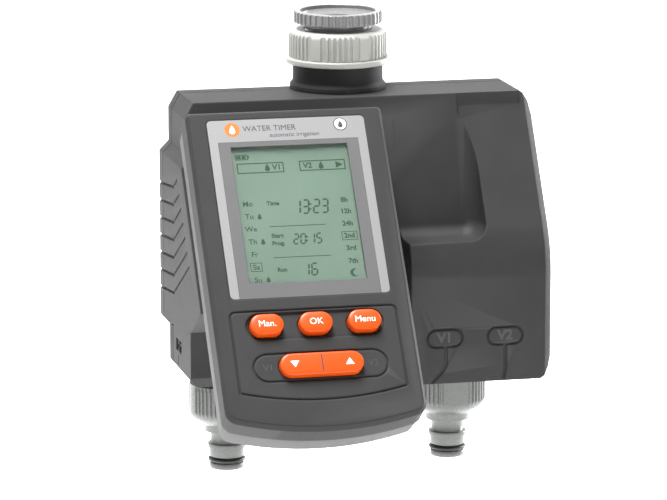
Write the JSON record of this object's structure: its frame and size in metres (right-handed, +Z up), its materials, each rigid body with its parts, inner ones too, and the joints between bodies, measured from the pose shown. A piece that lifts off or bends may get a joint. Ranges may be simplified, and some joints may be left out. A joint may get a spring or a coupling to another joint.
{
  "type": "dual outlet tap water timer",
  "caption": "Drip irrigation timer: threaded tap inlet above, push-fit hose outlets below, and a tilted removable control unit with display and keys.",
  "frame": {"origin": "centre of the mouth of the female tap thread in the inlet adapter", "axes": "+Z up out of the tap thread, -Y towards the display, +X right as seen from the display side"},
  "size_m": [0.1642, 0.1663, 0.2089],
  "materials": {
    "charcoal_plastic": "fine-grained moulded ABS",
    "case_plastic": "moulded ABS, slightly lighter",
    "nut_plastic": "satin warm grey moulded plastic",
    "connector_plastic": "satin grey moulded plastic",
    "adapter_plastic": "glossy dark grey moulded plastic",
    "key_plastic": "satin orange moulded plastic",
    "silver_plate": "fine satin silver",
    "surround_plastic": "printed mid grey",
    "window": "clear acrylic",
    "lcd": "reflective grey-green display",
    "rubber_black": "black sealing rubber",
    "rubber_pale": "pale silicone",
    "steel": "zinc-plated or stainless steel",
    "board": "green circuit board",
    "gold": "gilded contact pads",
    "pipe_plastic": "grey moulded nylon",
    "coil": "enamelled copper winding on a bobbin",
    "cell": "printed sleeve on dry cells"
  },
  "bodies": {
    "housing": {"housing_front_shell": "charcoal_plastic", "housing_back_shell": "charcoal_plastic", "housing_seal": "rubber_black", "housing_screws": "steel", "neck_collar": "charcoal_plastic", "water_manifold": "pipe_plastic", "valve_seat_diaphragm_1": "rubber_black", "valve_seat_diaphragm_2": "rubber_black", "valve_bonnet_1": "pipe_plastic", "valve_bonnet_2": "pipe_plastic", "bonnet_screws_1": "steel", "bonnet_screws_2": "steel", "valve_coil_1": "coil", "valve_coil_2": "coil", "plunger_spring_1": "steel", "plunger_spring_2": "steel", "sensor_socket_1": "case_plastic", "sensor_socket_2": "case_plastic", "dock_socket": "case_plastic", "dock_contacts": "steel", "inlet_filter": "steel", "inlet_washer": "rubber_black"},
    "control_unit": {"control_front_frame": "charcoal_plastic", "control_rear_case": "case_plastic", "control_seal": "rubber_black", "control_screws": "steel", "display_plate": "silver_plate", "display_surround": "surround_plastic", "display_window": "window", "display_module": "lcd", "circuit_board": "board", "keypad_mat": "rubber_pale", "contact_pads": "gold", "dock_plug": "case_plastic", "battery_cells": "cell", "battery_contacts": "steel"},
    "battery_cover": {"battery_cover": "charcoal_plastic"},
    "key_manual": {"key_manual": "key_plastic"},
    "key_ok": {"key_ok": "key_plastic"},
    "key_menu": {"key_menu": "key_plastic"},
    "key_rocker": {"key_rocker": "key_plastic"},
    "union_nut": {"union_nut": "nut_plastic"},
    "thread_adapter": {"thread_adapter": "adapter_plastic", "adapter_washer": "rubber_black"},
    "outlet_1": {"outlet_connector_1": "connector_plastic", "nose_oring_1": "rubber_black", "outlet_washer_1": "rubber_black"},
    "outlet_2": {"outlet_connector_2": "connector_plastic", "nose_oring_2": "rubber_black", "outlet_washer_2": "rubber_black"},
    "plunger_1": {"plunger_1": "steel"},
    "plunger_2": {"plunger_2": "steel"}
  },
  "joints": [
    {"name": "nut_spin", "type": "hinge", "parent": "housing", "child": "union_nut", "pos_m": [0, 0, 0], "axis": [0, 0, 1], "continuous": true},
    {"name": "adapter_spin", "type": "hinge", "parent": "union_nut", "child": "thread_adapter", "pos_m": [0, 0, 0], "axis": [0, 0, 1], "continuous": true},
    {"name": "outlet_1_spin", "type": "hinge", "parent": "housing", "child": "outlet_1", "pos_m": [-0.052, 0, -0.175], "axis": [0, 0, 1], "continuous": true},
    {"name": "outlet_2_spin", "type": "hinge", "parent": "housing", "child": "outlet_2", "pos_m": [0.052, 0, -0.175], "axis": [0, 0, 1], "continuous": true},
    {"name": "control_unit_dock", "type": "slide", "parent": "housing", "child": "control_unit", "axis": [0, -0.809, 0.5878], "range_m": [0, 0.06]},
    {"name": "battery_cover_hinge", "type": "hinge", "parent": "control_unit", "child": "battery_cover", "pos_m": [-0.0372, -0.11866, -0.15887], "axis": [-1, 0, 0], "range_deg": [0, 95]},
    {"name": "key_manual_press", "type": "slide", "parent": "control_unit", "child": "key_manual", "axis": [0, 0.809, -0.5878], "range_m": [0, 0.0012], "stiffness_N_per_m": 800, "springref_m": -0.0006},
    {"name": "key_ok_press", "type": "slide", "parent": "control_unit", "child": "key_ok", "axis": [0, 0.809, -0.5878], "range_m": [0, 0.0012], "stiffness_N_per_m": 800, "springref_m": -0.0006},
    {"name": "key_menu_press", "type": "slide", "parent": "control_unit", "child": "key_menu", "axis": [0, 0.809, -0.5878], "range_m": [0, 0.0012], "stiffness_N_per_m": 800, "springref_m": -0.0006},
    {"name": "key_rocker_tilt", "type": "hinge", "parent": "control_unit", "child": "key_rocker", "pos_m": [-0.0372, -0.12312, -0.13251], "axis": [0, 0.5878, 0.809], "range_deg": [-3.5, 3.5], "stiffness_Nm_per_rad": 0.4},
    {"name": "plunger_1_lift", "type": "slide", "parent": "housing", "child": "plunger_1", "axis": [0, -1, 0], "range_m": [0, 0.0025], "stiffness_N_per_m": 300, "springref_m": -0.003},
    {"name": "plunger_2_lift", "type": "slide", "parent": "housing", "child": "plunger_2", "axis": [0, -1, 0], "range_m": [0, 0.0025], "stiffness_N_per_m": 300, "springref_m": -0.003}
  ]
}
